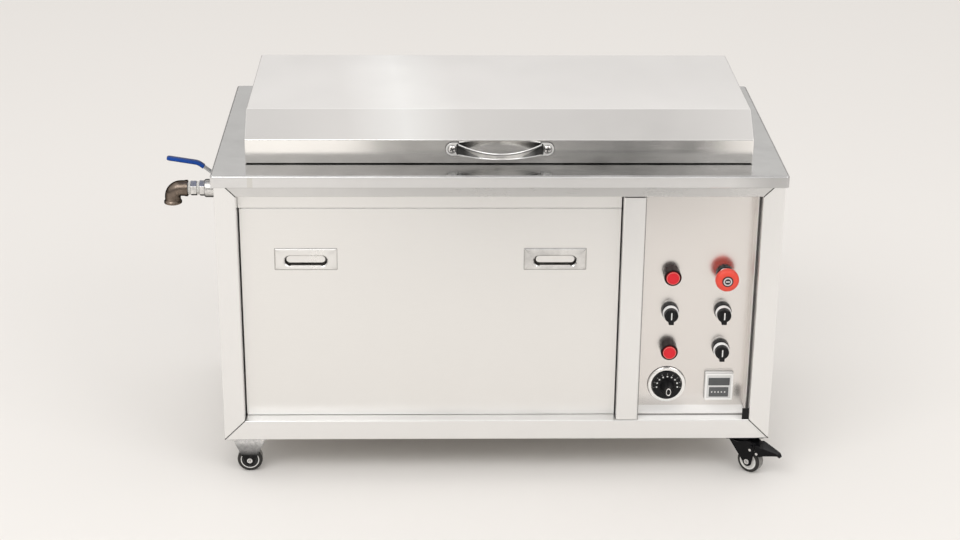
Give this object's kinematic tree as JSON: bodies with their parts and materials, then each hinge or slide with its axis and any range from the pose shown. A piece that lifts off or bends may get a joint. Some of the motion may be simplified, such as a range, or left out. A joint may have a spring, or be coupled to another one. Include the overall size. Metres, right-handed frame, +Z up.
{
  "type": "industrial ultrasonic cleaner",
  "caption": "Stainless ultrasonic cleaning cabinet on casters with a hinged tank lid, pull-off service door, recessed control panel and side drain valve.",
  "frame": {"origin": "on the floor under the middle of the whole object's footprint, drain elbow and caster pedals included", "axes": "+X to the right for someone at the control panel, +Y to the back, +Z up"},
  "size_m": [1.1162, 0.5486, 0.6423],
  "materials": {
    "stainless": "brushed sheet with a soft sheen",
    "polished_stainless": "polished",
    "zinc_steel": "bright zinc plate",
    "malleable_iron": "bare malleable iron with a brown sheen",
    "black_steel": "gloss black electrophoretic coat",
    "transducer_alloy": "machined",
    "grey_case": "fine textured light grey coat",
    "black_plastic": "moulded, satin",
    "red_plastic": "moulded, gloss",
    "blue_vinyl": "dipped vinyl, satin",
    "wheel_rubber": "matt rubber"
  },
  "bodies": {
    "cabinet": {"front_left_post": "stainless", "front_right_post": "stainless", "front_bottom_rail": "stainless", "front_top_rail": "stainless", "centre_post": "stainless", "rear_left_post": "stainless", "rear_right_post": "stainless", "rear_bottom_rail": "stainless", "left_side_panel": "stainless", "right_side_panel": "stainless", "rear_panel": "stainless", "floor_pan": "stainless", "cable_gland": "black_plastic", "deck": "stainless", "tank": "polished_stainless", "transducer_plate": "transducer_alloy", "heater_pad": "transducer_alloy", "generator_case": "grey_case", "door_header": "stainless", "control_panel": "stainless", "upper_button_bezel": "black_plastic", "estop_base": "black_plastic", "left_selector_bezel": "black_plastic", "upper_selector_bezel": "black_plastic", "lower_button_bezel": "black_plastic", "lower_selector_bezel": "black_plastic", "dial_bezel": "polished_stainless", "timer_case": "grey_case", "drain_nipple": "polished_stainless", "valve_body": "polished_stainless", "hex_nipple": "zinc_steel", "drain_elbow": "malleable_iron", "hinge_fixed_leaf": "stainless", "rigid_fork_front_left": "zinc_steel", "rigid_fork_rear_left": "zinc_steel", "caster_plate_front_right": "black_steel", "caster_plate_rear_right": "black_steel"},
    "lid": {"lid_shell": "stainless", "lid_handle": "polished_stainless", "hinge_moving_leaf": "stainless"},
    "door": {"door_panel": "stainless", "left_pull": "polished_stainless", "right_pull": "polished_stainless"},
    "upper_button": {"upper_button_cap": "red_plastic"},
    "lower_button": {"lower_button_cap": "red_plastic"},
    "emergency_stop": {"estop_head": "red_plastic"},
    "left_selector": {"left_selector_knob": "black_plastic"},
    "upper_selector": {"upper_selector_knob": "black_plastic"},
    "lower_selector": {"lower_selector_knob": "black_plastic"},
    "dial": {"dial_knob": "black_plastic"},
    "valve_handle": {"valve_lever": "zinc_steel", "lever_sleeve": "blue_vinyl"},
    "front_left_wheel": {"wheel_front_left": "wheel_rubber"},
    "rear_left_wheel": {"wheel_rear_left": "wheel_rubber"},
    "front_right_swivel": {"swivel_fork_front_right": "black_steel"},
    "rear_right_swivel": {"swivel_fork_rear_right": "black_steel"},
    "front_right_wheel": {"wheel_front_right": "wheel_rubber"},
    "rear_right_wheel": {"wheel_rear_right": "wheel_rubber"},
    "front_right_brake": {"brake_pedal_front_right": "black_steel"},
    "rear_right_brake": {"brake_pedal_rear_right": "black_steel"}
  },
  "joints": [
    {"name": "lid_hinge", "type": "hinge", "parent": "cabinet", "child": "lid", "pos_m": [0.05344, 0.19111, 0.5656], "axis": [-1, 0, 0], "range_deg": [0, 90]},
    {"name": "door_pull_off", "type": "slide", "parent": "cabinet", "child": "door", "axis": [0, -1, 0], "range_m": [0, 0.25]},
    {"name": "upper_button_press", "type": "slide", "parent": "cabinet", "child": "upper_button", "axis": [0, 1, 0], "range_m": [0, 0.0035], "stiffness_N_per_m": 400},
    {"name": "lower_button_press", "type": "slide", "parent": "cabinet", "child": "lower_button", "axis": [0, 1, 0], "range_m": [0, 0.0035], "stiffness_N_per_m": 400},
    {"name": "emergency_stop_press", "type": "slide", "parent": "cabinet", "child": "emergency_stop", "axis": [0, 1, 0], "range_m": [0, 0.0045]},
    {"name": "left_selector_turn", "type": "hinge", "parent": "cabinet", "child": "left_selector", "pos_m": [0.35144, -0.2, 0.2945], "axis": [0, 1, 0], "range_deg": [-45, 45]},
    {"name": "upper_selector_turn", "type": "hinge", "parent": "cabinet", "child": "upper_selector", "pos_m": [0.44294, -0.2, 0.2945], "axis": [0, 1, 0], "range_deg": [-45, 45]},
    {"name": "lower_selector_turn", "type": "hinge", "parent": "cabinet", "child": "lower_selector", "pos_m": [0.44294, -0.2, 0.2245], "axis": [0, 1, 0], "range_deg": [-45, 45]},
    {"name": "dial_turn", "type": "hinge", "parent": "cabinet", "child": "dial", "pos_m": [0.35144, -0.2, 0.1545], "axis": [0, 1, 0], "range_deg": [-105, 105]},
    {"name": "valve_turn", "type": "hinge", "parent": "cabinet", "child": "valve_handle", "pos_m": [-0.46006, 0.13531, 0.43], "axis": [0, 0, 1], "range_deg": [0, 90]},
    {"name": "front_left_wheel_spin", "type": "hinge", "parent": "cabinet", "child": "front_left_wheel", "pos_m": [-0.38156, -0.21069, 0.022], "axis": [0, 1, 0], "continuous": true},
    {"name": "rear_left_wheel_spin", "type": "hinge", "parent": "cabinet", "child": "rear_left_wheel", "pos_m": [-0.38156, 0.22431, 0.022], "axis": [0, 1, 0], "continuous": true},
    {"name": "front_right_swivel_turn", "type": "hinge", "parent": "cabinet", "child": "front_right_swivel", "pos_m": [0.48844, -0.21069, 0.062], "axis": [0, 0, 1], "continuous": true},
    {"name": "rear_right_swivel_turn", "type": "hinge", "parent": "cabinet", "child": "rear_right_swivel", "pos_m": [0.48844, 0.22431, 0.062], "axis": [0, 0, 1], "continuous": true},
    {"name": "front_right_wheel_spin", "type": "hinge", "parent": "front_right_swivel", "child": "front_right_wheel", "pos_m": [0.50278, -0.22315, 0.022], "axis": [0.6561, 0.7547, 0], "continuous": true},
    {"name": "rear_right_wheel_spin", "type": "hinge", "parent": "rear_right_swivel", "child": "rear_right_wheel", "pos_m": [0.50278, 0.21185, 0.022], "axis": [0.6561, 0.7547, 0], "continuous": true},
    {"name": "front_right_brake_press", "type": "hinge", "parent": "front_right_swivel", "child": "front_right_brake", "pos_m": [0.50882, -0.2284, 0.055], "axis": [0.6561, 0.7547, 0], "range_deg": [0, 15]},
    {"name": "rear_right_brake_press", "type": "hinge", "parent": "rear_right_swivel", "child": "rear_right_brake", "pos_m": [0.50882, 0.2066, 0.055], "axis": [0.6561, 0.7547, 0], "range_deg": [0, 15]}
  ]
}
